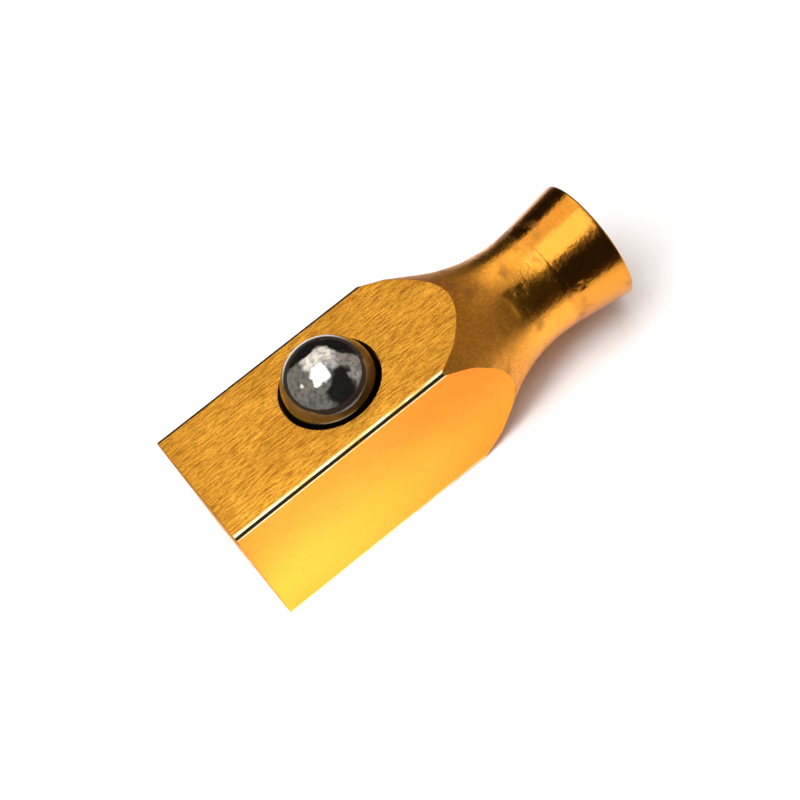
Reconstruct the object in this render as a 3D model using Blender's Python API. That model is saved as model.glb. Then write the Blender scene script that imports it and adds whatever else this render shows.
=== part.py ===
"""Square-shank spring-catch fitting: a gilt one-piece body with a square shank, a waisted neck and a
flared round end, and a ball-nosed steel plunger that a spring holds up in the shank's upper flat.

Units are metres. +X runs along the body from the square end to the flared end, +Z is the normal of
the flat that the plunger stands out of, and the origin is the centre of the underside's footprint.
"""

import math

import bmesh
import bpy

MM = 0.001

# Driving dimensions.
SQUARE_SIDE = 9.525 * MM          # across the flats, a 3/8 in square
BODY_LENGTH = 28.9 * MM           # square end to flared end
NOSE_RADIUS = 3.0 * MM            # the plunger's ball nose and the skirt below it
NOSE_FROM_SQUARE_END = 10.15 * MM
NOSE_DEPTH = 0.16 * MM            # centre of the ball nose below the upper flat

# Body: where the turned neck cuts the square, and the turned outline itself.
EDGE_ROUNDING = 0.32 * MM
ARCH_TIP_FROM_SQUARE_END = 19.07 * MM
NECK_CONE_ANGLE = math.radians(30)
LEAD_CONE_ANGLE = math.radians(22)
LEAD_CONE_RADIUS = 5.95 * MM      # where the shallow lead cone meets the neck cone
NECK_RADIUS = 3.56 * MM
NECK_FILLET = 9.75 * MM
FLARE_ANGLE = math.radians(8)
RIM_ROUNDING = 0.15 * MM

# Bore: a guide at the upper flat, a wider chamber under it, and a thread at the underside.
GUIDE_RADIUS = 3.21 * MM
CHAMBER_RADIUS = 3.5 * MM
SHOULDER_Z = 6.65 * MM            # the step that the plunger's flange stops against
THREAD_RADIUS = 3.75 * MM
THREAD_DEPTH = 2.1 * MM

# Plunger: solid nose, skirt hollow from below, flange at its foot.
FLANGE_RADIUS = 3.4 * MM
FLANGE_THICKNESS = 1.0 * MM
FLANGE_GAP = 0.05 * MM            # flange to shoulder at rest
SPRING_POCKET_RADIUS = 2.15 * MM
SPRING_POCKET_TOP_Z = 8.0 * MM

# Plug.
PLUG_CLEARANCE = 0.05 * MM
PLUG_RECESS = 0.2 * MM
PLUG_THICKNESS = 1.6 * MM
PLUG_CHAMFER = 0.2 * MM
SLOT_WIDTH = 0.9 * MM
SLOT_DEPTH = 0.7 * MM

# Spring.
WIRE_RADIUS = 0.2 * MM
COIL_RADIUS = 1.75 * MM           # to the middle of the wire
END_COIL_PITCH = 0.45 * MM
END_COIL_TURNS = 0.75             # closed turns at each end
ACTIVE_TURNS = 5
SPRING_GAP = 0.05 * MM            # wire to plug, and wire to plunger
POINTS_PER_TURN = 20

BODY_SEGMENTS = 96
BORE_SEGMENTS = 64
FILLET_STEPS = 14
NOSE_STEPS = 18
RIM_STEPS = 3
OVERSHOOT = 1.0 * MM              # how far a cutter or a blank runs past the body

HALF_SIDE = SQUARE_SIDE / 2
SQUARE_END_X = -BODY_LENGTH / 2
NOSE_X = SQUARE_END_X + NOSE_FROM_SQUARE_END
NOSE_Z = SQUARE_SIDE - NOSE_DEPTH
PLUG_TOP_Z = PLUG_RECESS + PLUG_THICKNESS


def clear_scene():
    """Removes every object, so that the model starts from an empty scene."""
    for obj in list(bpy.data.objects):
        bpy.data.objects.remove(obj, do_unlink=True)


def make_material(name, colour, roughness, metallic=1.0):
    material = bpy.data.materials.new(name)
    material.use_nodes = True
    shader = material.node_tree.nodes["Principled BSDF"]
    shader.inputs["Base Color"].default_value = (*colour, 1.0)
    shader.inputs["Roughness"].default_value = roughness
    shader.inputs["Metallic"].default_value = metallic
    material.diffuse_color = (*colour, 1.0)
    return material


def add_object(name, data, location=(0, 0, 0)):
    obj = bpy.data.objects.new(name, data)
    obj.location = location
    bpy.context.scene.collection.objects.link(obj)
    return obj


def make_helper(obj):
    """Keeps a cutter or a blank out of the model: it only shapes another object."""
    obj.hide_render = True
    obj.display_type = "WIRE"


def add_turned(name, outline, segments, location=(0, 0, 0)):
    """A solid turned about its local Z. outline holds (radius, z) from the top of the axis, down the
    outer side, to the bottom of the axis."""
    mesh = bpy.data.meshes.new(name)
    points = [(radius, 0, z) for radius, z in outline]
    mesh.from_pydata(points, [(i, i + 1) for i in range(len(points) - 1)], [])
    obj = add_object(name, mesh, location)
    screw = obj.modifiers.new("turn", "SCREW")
    screw.axis = "Z"
    screw.steps = segments
    screw.render_steps = segments
    screw.use_merge_vertices = True
    screw.merge_threshold = 0.00001
    return obj


def add_boolean(obj, operation, other):
    boolean = obj.modifiers.new(other.name, "BOOLEAN")
    boolean.operation = operation
    boolean.solver = "EXACT"
    boolean.object = other


def shade_round(obj, angle=math.radians(25)):
    obj.data.shade_smooth()
    obj.data.set_sharp_from_angle(angle=angle)


def turned_body_outline():
    """(radius, distance from the square end) of the turned neck and flare, from the flared end back
    to past the square end. The lead cone, the neck cone, the fillet and the flare meet in turn."""
    blank_radius = HALF_SIDE * math.sqrt(2) + OVERSHOOT
    cone_slope = math.tan(NECK_CONE_ANGLE)
    fillet_start_radius = NECK_RADIUS + NECK_FILLET * (1 - math.cos(NECK_CONE_ANGLE))
    fillet_start = ARCH_TIP_FROM_SQUARE_END - (fillet_start_radius - HALF_SIDE) / cone_slope
    neck = fillet_start + NECK_FILLET * math.sin(NECK_CONE_ANGLE)
    flare_start = neck + NECK_FILLET * math.sin(FLARE_ANGLE)
    flare_start_radius = NECK_RADIUS + NECK_FILLET * (1 - math.cos(FLARE_ANGLE))
    rim_radius = flare_start_radius + (BODY_LENGTH - flare_start) * math.tan(FLARE_ANGLE)
    lead_end = ARCH_TIP_FROM_SQUARE_END - (LEAD_CONE_RADIUS - HALF_SIDE) / cone_slope
    lead_start = lead_end - (blank_radius - LEAD_CONE_RADIUS) / math.tan(LEAD_CONE_ANGLE)

    outline = [(0, BODY_LENGTH)]
    for step in range(RIM_STEPS + 1):
        turn = math.pi / 2 * step / RIM_STEPS
        radius = rim_radius - RIM_ROUNDING * (1 - math.sin(turn))
        outline.append((radius, BODY_LENGTH - RIM_ROUNDING * (1 - math.cos(turn))))
    for step in range(FILLET_STEPS + 1):
        slope = FLARE_ANGLE - (FLARE_ANGLE + NECK_CONE_ANGLE) * step / FILLET_STEPS
        radius = NECK_RADIUS + NECK_FILLET * (1 - math.cos(slope))
        outline.append((radius, neck + NECK_FILLET * math.sin(slope)))
    outline += [
        (LEAD_CONE_RADIUS, lead_end),
        (blank_radius, lead_start),
        (blank_radius, -OVERSHOOT),
        (0, -OVERSHOOT),
    ]
    return outline


def add_turned_blank():
    """The turned blank, lying along X, that trims the square bar to the neck and the flare."""
    blank = add_turned(
        "turned_blank", turned_body_outline(), BODY_SEGMENTS, (SQUARE_END_X, 0, HALF_SIDE)
    )
    blank.rotation_euler.y = math.pi / 2
    make_helper(blank)
    return blank


def add_bore_cutter():
    """The stepped bore: guide, chamber and thread, from the upper flat down to the underside."""
    outline = [
        (0, SQUARE_SIDE + OVERSHOOT),
        (GUIDE_RADIUS, SQUARE_SIDE + OVERSHOOT),
        (GUIDE_RADIUS, SHOULDER_Z),
        (CHAMBER_RADIUS, SHOULDER_Z),
        (CHAMBER_RADIUS, THREAD_DEPTH),
        (THREAD_RADIUS, THREAD_DEPTH),
        (THREAD_RADIUS, -OVERSHOOT),
        (0, -OVERSHOOT),
    ]
    cutter = add_turned("bore_cutter", outline, BORE_SEGMENTS, (NOSE_X, 0, 0))
    make_helper(cutter)
    return cutter


def add_body():
    """Square bar with rounded long edges, trimmed by the turned blank and bored for the plunger."""
    bar_length = BODY_LENGTH + OVERSHOOT
    mesh = bpy.data.meshes.new("body")
    bar = bmesh.new()
    bmesh.ops.create_cube(bar, size=1)
    bmesh.ops.scale(bar, verts=bar.verts, vec=(bar_length, SQUARE_SIDE, SQUARE_SIDE))
    bmesh.ops.translate(bar, verts=bar.verts, vec=(OVERSHOOT / 2, 0, HALF_SIDE))
    long_edges = [e for e in bar.edges if abs(e.verts[0].co.x - e.verts[1].co.x) > BODY_LENGTH / 2]
    bmesh.ops.bevel(bar, geom=long_edges, offset=EDGE_ROUNDING, segments=3, profile=0.5, affect="EDGES")
    bar.to_mesh(mesh)
    bar.free()
    obj = add_object("body", mesh)
    add_boolean(obj, "INTERSECT", add_turned_blank())
    add_boolean(obj, "DIFFERENCE", add_bore_cutter())
    obj.data.materials.append(make_material("gilt_brass", (0.86, 0.52, 0.12), 0.2))
    shade_round(obj)
    return obj


def add_ball_plunger():
    """The plunger, with its origin at the centre of its ball nose, on the bore's axis."""
    flange_top = SHOULDER_Z - FLANGE_GAP - NOSE_Z
    foot = flange_top - FLANGE_THICKNESS
    pocket_top = SPRING_POCKET_TOP_Z - NOSE_Z
    outline = []
    for step in range(NOSE_STEPS + 1):
        turn = math.pi / 2 * step / NOSE_STEPS
        outline.append((NOSE_RADIUS * math.sin(turn), NOSE_RADIUS * math.cos(turn)))
    outline += [
        (NOSE_RADIUS, flange_top),
        (FLANGE_RADIUS, flange_top),
        (FLANGE_RADIUS, foot),
        (SPRING_POCKET_RADIUS, foot),
        (SPRING_POCKET_RADIUS, pocket_top),
        (0, pocket_top),
    ]
    obj = add_turned("ball_plunger", outline, BORE_SEGMENTS, (NOSE_X, 0, NOSE_Z))
    obj.data.materials.append(make_material("plunger_steel", (0.8, 0.8, 0.8), 0.05))
    shade_round(obj)
    return obj


def add_spring_plug():
    """The slotted screw that closes the bore from the underside and carries the spring."""
    radius = THREAD_RADIUS - PLUG_CLEARANCE
    outline = [
        (0, PLUG_TOP_Z),
        (radius - PLUG_CHAMFER, PLUG_TOP_Z),
        (radius, PLUG_TOP_Z - PLUG_CHAMFER),
        (radius, PLUG_RECESS + PLUG_CHAMFER),
        (radius - PLUG_CHAMFER, PLUG_RECESS),
        (0, PLUG_RECESS),
    ]
    obj = add_turned("spring_plug", outline, BORE_SEGMENTS, (NOSE_X, 0, 0))
    slot_mesh = bpy.data.meshes.new("slot_cutter")
    slot = bmesh.new()
    bmesh.ops.create_cube(slot, size=1)
    slot_size = (3 * THREAD_RADIUS, SLOT_WIDTH, 2 * SLOT_DEPTH)
    bmesh.ops.scale(slot, verts=slot.verts, vec=slot_size)
    slot.to_mesh(slot_mesh)
    slot.free()
    slot_cutter = add_object("slot_cutter", slot_mesh, (NOSE_X, 0, PLUG_RECESS))
    make_helper(slot_cutter)
    add_boolean(obj, "DIFFERENCE", slot_cutter)
    obj.data.materials.append(make_material("plug_brass", (0.8, 0.5, 0.14), 0.3))
    shade_round(obj)
    return obj


def spring_points():
    """Points along the middle of the wire: closed turns at both ends, open turns between them."""
    bottom = PLUG_TOP_Z + SPRING_GAP + WIRE_RADIUS
    top = SPRING_POCKET_TOP_Z - SPRING_GAP - WIRE_RADIUS
    end_rise = END_COIL_TURNS * END_COIL_PITCH
    active_pitch = (top - bottom - 2 * end_rise) / ACTIVE_TURNS
    total_turns = 2 * END_COIL_TURNS + ACTIVE_TURNS
    points = []
    for step in range(round(total_turns * POINTS_PER_TURN) + 1):
        turn = step / POINTS_PER_TURN
        active = min(max(turn - END_COIL_TURNS, 0), ACTIVE_TURNS)
        height = bottom + (turn - active) * END_COIL_PITCH + active * active_pitch
        angle = 2 * math.pi * turn
        points.append((COIL_RADIUS * math.cos(angle), COIL_RADIUS * math.sin(angle), height))
    return points


def add_plunger_spring():
    """The coil spring between the plug and the plunger, as a wire along its own helix."""
    points = spring_points()
    curve = bpy.data.curves.new("plunger_spring", "CURVE")
    curve.dimensions = "3D"
    curve.bevel_depth = WIRE_RADIUS
    curve.bevel_resolution = 2
    curve.use_fill_caps = True
    wire = curve.splines.new("POLY")
    wire.points.add(len(points) - 1)
    for point, place in zip(wire.points, points):
        point.co = (*place, 1)
    obj = add_object("plunger_spring", curve, (NOSE_X, 0, 0))
    obj.data.materials.append(make_material("spring_steel", (0.45, 0.45, 0.46), 0.3))
    return obj


def main():
    clear_scene()
    add_body()
    add_ball_plunger()
    add_plunger_spring()
    add_spring_plug()


if __name__ == "__main__":
    main()
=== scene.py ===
"""Looks of a gilt square-shank fitting with a sprung ball-nosed plunger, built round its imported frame.

The frame gives the pieces' places: +X runs from the square end to the flared end, +Z out of the flat
that the plunger stands out of, and z = 0 is the floor. All lengths are in metres.
"""

import logging
import math
from collections.abc import Callable, Sequence
from dataclasses import dataclass, field
from enum import Enum

import bmesh
import bpy
from mathutils import Matrix, Vector

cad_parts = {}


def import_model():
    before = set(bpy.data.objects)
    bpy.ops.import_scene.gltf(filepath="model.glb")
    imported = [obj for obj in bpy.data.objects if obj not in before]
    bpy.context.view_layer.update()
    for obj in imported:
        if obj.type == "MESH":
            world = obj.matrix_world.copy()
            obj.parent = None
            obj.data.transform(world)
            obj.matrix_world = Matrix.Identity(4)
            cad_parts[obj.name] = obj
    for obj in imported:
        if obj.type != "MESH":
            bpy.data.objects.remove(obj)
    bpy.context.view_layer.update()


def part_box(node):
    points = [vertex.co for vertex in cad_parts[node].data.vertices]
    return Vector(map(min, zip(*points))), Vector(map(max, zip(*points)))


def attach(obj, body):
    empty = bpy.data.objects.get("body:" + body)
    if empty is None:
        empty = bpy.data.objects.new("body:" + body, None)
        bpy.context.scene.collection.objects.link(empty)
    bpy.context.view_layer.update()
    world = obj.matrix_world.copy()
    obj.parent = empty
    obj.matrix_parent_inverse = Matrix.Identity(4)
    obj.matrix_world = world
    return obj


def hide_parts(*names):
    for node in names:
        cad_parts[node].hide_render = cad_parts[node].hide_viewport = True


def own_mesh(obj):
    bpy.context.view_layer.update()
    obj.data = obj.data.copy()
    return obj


MM = 0.001
ALONG, ACROSS, UP = (1, 0, 0), (0, 1, 0), (0, 0, 1)
NOSE_RADIUS = 3.0 * MM
SLIVER = 0.0008 * MM
LOG = logging.getLogger("spring_catch")

Colour = tuple[float, float, float]
Point = tuple[float, float, float]


class Body(Enum):
    """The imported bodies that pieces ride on."""

    SHANK = "shank"
    PLUNGER = "plunger"


class Slot(Enum):
    """The record's material slots."""

    GILT = "gilt_brass"
    PLUNGER = "plunger_steel"
    SPRING = "spring_steel"
    PLUG = "plug_brass"


class Face(Enum):
    """Which finish a face of the body takes; the value is its material index."""

    GRAINED = 0
    SATIN = 1
    TURNED = 2
    CUT = 3
    BORED = 4
    WORN_GLINT = 5


# ---------------------------------------------------------------------------------------------
# Node trees
# ---------------------------------------------------------------------------------------------


@dataclass
class NodeBench:
    """A node tree being wired.

    Attributes:
        tree: The tree that nodes are added to.
    """

    tree: bpy.types.NodeTree

    def add(self, kind: str, **settings: object) -> bpy.types.Node:
        """Adds a node.

        Args:
            kind: Blender's node type name.
            **settings: Attributes to set on the node.

        Returns:
            The new node.
        """
        node = self.tree.nodes.new(kind)
        for name, value in settings.items():
            setattr(node, name, value)
        return node

    def link(self, source: bpy.types.NodeSocket, target: bpy.types.NodeSocket) -> None:
        """Joins an output socket to an input socket."""
        self.tree.links.new(source, target)

    def feed(self, socket: bpy.types.NodeSocket, value: object) -> None:
        """Gives a socket a value, or a link when the value is itself a socket."""
        if isinstance(value, bpy.types.NodeSocket):
            self.link(value, socket)
        else:
            socket.default_value = value

    def maths(self, operation: str, *values: object, clamp: bool = False) -> bpy.types.NodeSocket:
        """Adds a Math node.

        Args:
            operation: The Math node's operation.
            *values: Numbers or sockets, in order.
            clamp: Whether the result is held between 0 and 1.

        Returns:
            The result's socket.
        """
        node = self.add("ShaderNodeMath", operation=operation, use_clamp=clamp)
        for socket, value in zip(node.inputs, values):
            self.feed(socket, value)
        return node.outputs[0]

    def dot(self, vector: bpy.types.NodeSocket, direction: Sequence[float]) -> bpy.types.NodeSocket:
        """Returns the dot product of a vector socket and a fixed direction."""
        node = self.add("ShaderNodeVectorMath", operation="DOT_PRODUCT")
        self.link(vector, node.inputs[0])
        node.inputs[1].default_value = direction
        return node.outputs["Value"]

    def ramp(
        self, value: object, low: float, high: float, to_low: float = 0.0, to_high: float = 1.0
    ) -> bpy.types.NodeSocket:
        """Maps a value smoothly from one range to another.

        Args:
            value: A socket or a number.
            low: Where the range starts.
            high: Where the range ends.
            to_low: What the start maps to.
            to_high: What the end maps to.

        Returns:
            The mapped value's socket.
        """
        node = self.add("ShaderNodeMapRange", interpolation_type="SMOOTHSTEP")
        for name, number in (
            ("Value", value),
            ("From Min", low),
            ("From Max", high),
            ("To Min", to_low),
            ("To Max", to_high),
        ):
            self.feed(node.inputs[name], number)
        return node.outputs["Result"]

    def mix(self, factor: object, first: object, second: object) -> bpy.types.NodeSocket:
        """Mixes two colours.

        Args:
            factor: 0 for the first colour, 1 for the second.
            first: A colour or a socket.
            second: A colour or a socket.

        Returns:
            The mixed colour's socket.
        """
        node = self.add("ShaderNodeMix", data_type="RGBA", clamp_factor=True)
        self.feed(node.inputs[0], factor)
        self.feed(node.inputs[6], first if isinstance(first, bpy.types.NodeSocket) else (*first, 1))
        self.feed(node.inputs[7], second if isinstance(second, bpy.types.NodeSocket) else (*second, 1))
        return node.outputs[2]

    def surface(
        self,
        shader: bpy.types.Node,
        colour: bpy.types.NodeSocket,
        roughness: bpy.types.NodeSocket,
        normal: bpy.types.NodeSocket,
    ) -> None:
        """Joins a colour, a roughness and a normal to a shader.

        Args:
            shader: The Principled shader.
            colour: The base colour's socket.
            roughness: The roughness's socket.
            normal: The normal's socket.
        """
        for name, socket in (("Base Color", colour), ("Roughness", roughness), ("Normal", normal)):
            self.link(socket, shader.inputs[name])

    def coordinate(self, axis: Sequence[float]) -> bpy.types.NodeSocket:
        """Returns the piece's own coordinate along an axis, in metres."""
        return self.dot(self.stretched((1, 1, 1)), axis)

    def stretched(self, scale: Sequence[float]) -> bpy.types.NodeSocket:
        """Returns the piece's own coordinates, in metres times scale along each axis."""
        place = self.add("ShaderNodeTexCoord")
        node = self.add("ShaderNodeMapping")
        node.inputs["Scale"].default_value = scale
        self.link(place.outputs["Object"], node.inputs["Vector"])
        return node.outputs["Vector"]

    def noise(
        self, scale: Sequence[float], detail: float = 4.0, rough: float = 0.55, twist: float = 0.0
    ) -> bpy.types.NodeSocket:
        """Adds noise in the piece's own coordinates.

        Args:
            scale: Grains per metre along each axis.
            detail: How many finer layers are added.
            rough: How strong the finer layers are.
            twist: How far the noise is distorted.

        Returns:
            A socket with values around 0.5.
        """
        node = self.add("ShaderNodeTexNoise")
        self.link(self.stretched(scale), node.inputs["Vector"])
        node.inputs["Scale"].default_value = 1.0
        node.inputs["Detail"].default_value = detail
        node.inputs["Roughness"].default_value = rough
        node.inputs["Distortion"].default_value = twist
        return node.outputs["Fac"]

    def bump(
        self, height: bpy.types.NodeSocket, depth: float, below: bpy.types.NodeSocket | None = None
    ) -> bpy.types.NodeSocket:
        """Turns a height into a shading normal.

        Args:
            height: The height, 0 to 1.
            depth: What a height of 1 stands for, in metres.
            below: A normal that this one is laid over.

        Returns:
            The normal's socket.
        """
        node = self.add("ShaderNodeBump")
        node.inputs["Strength"].default_value = 1.0
        node.inputs["Distance"].default_value = depth
        self.link(height, node.inputs["Height"])
        if below is not None:
            self.link(below, node.inputs["Normal"])
        return node.outputs["Normal"]


@dataclass(frozen=True)
class Finish:
    """A metal finish; each kind of finish adds its own surface.

    Attributes:
        name: The material's name.
        colour: The metal's main colour.
        deep: The colour in hollows and worn patches.
        roughness: The lowest and highest roughness.
    """

    name: str
    colour: Colour
    deep: Colour
    roughness: tuple[float, float]

    def make(self) -> bpy.types.Material:
        """Builds the material.

        Returns:
            The new material.
        """
        material = bpy.data.materials.new(self.name)
        material.use_nodes = True
        bench = NodeBench(material.node_tree)
        shader = material.node_tree.nodes["Principled BSDF"]
        shader.inputs["Metallic"].default_value = 1.0
        self.dress(bench, shader)
        return material

    def dress(self, bench: NodeBench, shader: bpy.types.Node) -> None:
        """Wires the finish's surface into the shader.

        Args:
            bench: The tree to wire.
            shader: Its Principled shader.
        """
        raise NotImplementedError


@dataclass(frozen=True)
class GrainedGilt(Finish):
    """Matt gilding over a milled, lightly blasted flat, with streaks along the shank.

    Attributes:
        streaks: Streaks per metre along and across the shank.
        pits: Pits per metre.
        depth: Depth of the streaks.
        scatter: Share of the light that the grain scatters.
        pit_share: Share of the pits in the grain's height; the streaks have the rest.
        patchiness: How much of the deep colour the slow change of tone shows.
    """

    streaks: tuple[float, float] = (1200.0, 8000.0)
    pits: float = 8500.0
    depth: float = 0.06 * MM
    scatter: float = 0.1
    pit_share: float = 0.35
    patchiness: float = 0.35

    def dress(self, bench: NodeBench, shader: bpy.types.Node) -> None:
        """Wires streaks, pits and a slow change of tone.

        Args:
            bench: The tree to wire.
            shader: Its Principled shader.
        """
        shader.inputs["Metallic"].default_value = 1.0 - self.scatter
        along, across = self.streaks
        streak = bench.noise((along, across, across), detail=5, rough=0.62, twist=0.25)
        pit = bench.noise((self.pits, self.pits, self.pits), detail=3, rough=0.6)
        slow = bench.noise((220, 320, 320), detail=2)
        streaked = bench.maths("MULTIPLY", streak, 1 - self.pit_share)
        height = bench.maths("ADD", streaked, bench.maths("MULTIPLY", pit, self.pit_share))
        tone = bench.ramp(height, 0.36, 0.6)
        metal = bench.mix(tone, self.deep, self.colour)
        patchy = bench.mix(bench.ramp(slow, 0.35, 0.7, 0.0, self.patchiness), metal, self.deep)
        low, high = self.roughness
        gloss = bench.ramp(height, 0.3, 0.65, high, low)
        bench.surface(shader, patchy, gloss, bench.bump(height, self.depth))


@dataclass(frozen=True)
class SatinGilt(Finish):
    """Smooth satin gilding with the faintest orange-peel and a few dust pits.

    It gets redder from the underside up: a painted reflection, yellow and bright near the underside where
    the pale floor is mirrored, darker and redder higher up.

    Attributes:
        depth: Depth of the orange-peel.
        painted_reflection_low: Height up to which the painted floor reflection is full.
        painted_reflection_high: Height at which it has faded, leaving the redder colour.
        painted_reflection_dimming: How much of the deep colour it shows there.
        wander: How far a slow noise shifts the tone.
        spot_strength: How dark the dust pits are.
    """

    depth: float = 0.002 * MM
    painted_reflection_low: float = 1.6 * MM
    painted_reflection_high: float = 8.6 * MM
    painted_reflection_dimming: float = 0.88
    wander: float = 0.1
    spot_strength: float = 0.6

    def dress(self, bench: NodeBench, shader: bpy.types.Node) -> None:
        """Wires a painted reflection that fades from low to high, an orange-peel and dust pits.

        Args:
            bench: The tree to wire.
            shader: Its Principled shader.
        """
        slow = bench.noise((160, 300, 300), detail=3)
        peel = bench.noise((2600, 3200, 3200), detail=3)
        dust = bench.noise((1500, 1500, 1500), detail=1)
        spot = bench.ramp(dust, 0.73, 0.78)
        # painted reflection: yellowest near the underside, where the bright floor is mirrored, dimming to
        # redder higher up
        rise = bench.ramp(bench.coordinate(UP), self.painted_reflection_low, self.painted_reflection_high, 0.0, self.painted_reflection_dimming)
        tone = bench.maths("ADD", rise, bench.ramp(slow, 0.3, 0.75, -self.wander, self.wander))
        metal = bench.mix(tone, self.colour, self.deep)
        spotted = bench.mix(bench.maths("MULTIPLY", spot, self.spot_strength), metal, self.deep)
        low, high = self.roughness
        bench.surface(shader, spotted, bench.ramp(peel, 0.3, 0.7, low, high), bench.bump(peel, self.depth))


@dataclass(frozen=True)
class TurnedGilt(Finish):
    """Polished metal over fine turning marks that ring the body's axis.

    It goes by the place along the body. Beyond the ring line, on the flare and its end face, the
    metal has the flare's colour. On the shank's side of the line it is hazier, and up to the end
    of the cone it is also streaked: that takes in the square end, the bore and the plug.

    Attributes:
        rings: Turning marks per metre along the axis.
        ring_depth: Depth of the turning marks.
        grit: Polishing grit marks per metre.
        grit_depth: Depth of the grit marks.
        wear: How much of the deep colour the worn patches show.
        ring_line: Where along the body the hazy neck meets the clean flare.
        ring_fade: Length over which the one turns into the other.
        flare: Colour beyond the ring line.
        neck_haze: Extra roughness on the shank's side of the ring line.
        cone_end: Where along the body the dull, streaked part ends.
        cone_fade: Length over which the dullness goes.
        cone_haze: Further roughness of that part.
        streaks: Its streaks, per metre across and along the body.
        streak_depth: How much of the deep colour the streaks show.
    """

    rings: float = 9000.0
    ring_depth: float = 0.006 * MM
    grit: float = 4200.0
    grit_depth: float = 0.02 * MM
    wear: float = 0.7
    ring_line: float = 10.67 * MM
    ring_fade: float = 0.6 * MM
    flare: Colour = (0.8, 0.32, 0.04)
    neck_haze: float = 0.12
    cone_end: float = 5.2 * MM
    cone_fade: float = 3.4 * MM
    cone_haze: float = 0.24
    streaks: tuple[float, float] = (7000.0, 1300.0)
    streak_depth: float = 0.5

    def dress(self, bench: NodeBench, shader: bpy.types.Node) -> None:
        """Wires turning marks, grit, worn patches and the duller, streaked cone.

        Args:
            bench: The tree to wire.
            shader: Its Principled shader.
        """
        rings = bench.noise((self.rings, 60, 60), detail=2, rough=0.7)
        grit = bench.noise((self.grit, self.grit * 0.7, self.grit * 0.7), detail=4, rough=0.6)
        worn = bench.ramp(bench.noise((420, 300, 300), detail=4, rough=0.6), 0.52, 0.7)
        place = bench.coordinate(ALONG)
        cone = bench.ramp(place, self.cone_end, self.cone_end + self.cone_fade, 1.0, 0.0)
        across, along = self.streaks
        drawn = bench.ramp(bench.noise((along, across, across), detail=4, rough=0.7), 0.36, 0.66)
        beyond = bench.ramp(place, self.ring_line - self.ring_fade, self.ring_line)
        metal = bench.mix(beyond, self.colour, self.flare)
        metal = bench.mix(bench.maths("MULTIPLY", worn, self.wear), metal, self.deep)
        streak = bench.maths("MULTIPLY", bench.maths("MULTIPLY", drawn, cone), self.streak_depth)
        metal = bench.mix(streak, metal, self.deep)
        low, high = self.roughness
        gloss = bench.ramp(bench.maths("ADD", worn, grit), 0.4, 1.2, low, high)
        haze = bench.ramp(beyond, 0.0, 1.0, self.neck_haze, 0.0)
        haze = bench.maths("ADD", haze, bench.maths("MULTIPLY", cone, self.cone_haze))
        ringed = bench.bump(rings, self.ring_depth)
        gritty = bench.bump(grit, self.grit_depth, ringed)
        bench.surface(shader, metal, bench.maths("ADD", gloss, haze), gritty)


@dataclass(frozen=True)
class WornGlintGilt(Finish):
    """Long edges pale at the front, part rubbed gilding and part painted highlight, with painted shade on
    the back edges and small nicks.

    The bevel round the bore's mouth has it too.

    Attributes:
        nicks: Nicks per metre along the edge.
        depth: Depth of the nicks.
        back_shade: Colour of the painted shade on the back edges.
        back_shade_fade: Distance behind the body's axis over which the painted shade comes in.
        back_shade_strength: How much of it the back edges show.
    """

    nicks: float = 2200.0
    depth: float = 0.006 * MM
    back_shade: Colour = (0.03, 0.018, 0.01)
    back_shade_fade: float = 1.0 * MM
    back_shade_strength: float = 0.92

    def dress(self, bench: NodeBench, shader: bpy.types.Node) -> None:
        """Wires rubbed and unrubbed stretches, painted shade at the back and nicks.

        Args:
            bench: The tree to wire.
            shader: Its Principled shader.
        """
        rub = bench.noise((500, 900, 900), detail=4, rough=0.65)
        nick = bench.noise((self.nicks, self.nicks, self.nicks), detail=3)
        # the pale colour is part rubbed gilding, part painted highlight along the edge
        metal = bench.mix(bench.ramp(rub, 0.4, 0.7), self.colour, self.deep)
        # painted shade: the edges behind the body's axis go dark
        back = bench.ramp(bench.coordinate(ACROSS), 0.0, self.back_shade_fade, 0.0, self.back_shade_strength)
        metal = bench.mix(back, metal, self.back_shade)
        low, high = self.roughness
        bench.surface(shader, metal, bench.ramp(rub, 0.35, 0.75, low, high), bench.bump(nick, self.depth))


@dataclass(frozen=True)
class MirrorSteel(Finish):
    """Mirror-polished steel of the plunger, with a haze of handling marks and painted shade round the foot
    of the nose.

    Attributes:
        depth: Depth of the marks.
        painted_foot_shade: Colour of the painted shade round the nose's foot, in the bore's mouth.
        painted_shade_full_below: Height up to which the painted shade is full.
        painted_shade_gone_above: Height at which it has gone.
        thin: How strong the painted shade is on the square end's side.
        thick: How strong it is on the flare's side.
        thinnest: Where along the body it is thin.
        thickest: Where along the body it is thick.
    """

    depth: float = 0.0015 * MM
    painted_foot_shade: Colour = (0.12, 0.095, 0.08)
    painted_shade_full_below: float = 10.0 * MM
    painted_shade_gone_above: float = 11.0 * MM
    thin: float = 0.45
    thick: float = 0.95
    thinnest: float = -6.3 * MM
    thickest: float = -2.3 * MM

    def dress(self, bench: NodeBench, shader: bpy.types.Node) -> None:
        """Wires haze, painted shade round the foot of the nose, and handling marks.

        Args:
            bench: The tree to wire.
            shader: Its Principled shader.
        """
        haze = bench.noise((700, 700, 700), detail=5, rough=0.6)
        marks = bench.noise((900, 2600, 1600), detail=3, twist=1.5)
        steel = bench.mix(bench.ramp(haze, 0.4, 0.75), self.colour, self.deep)
        # painted shade: the nose darkens towards its foot in the bore's mouth, more on the flare's side
        foot = bench.ramp(bench.coordinate(UP), self.painted_shade_full_below, self.painted_shade_gone_above, 1.0, 0.0)
        side = bench.ramp(bench.coordinate(ALONG), self.thinnest, self.thickest, self.thin, self.thick)
        steel = bench.mix(bench.maths("MULTIPLY", foot, side), steel, self.painted_foot_shade)
        low, high = self.roughness
        bench.surface(shader, steel, bench.ramp(haze, 0.35, 0.8, low, high), bench.bump(marks, self.depth))


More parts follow.
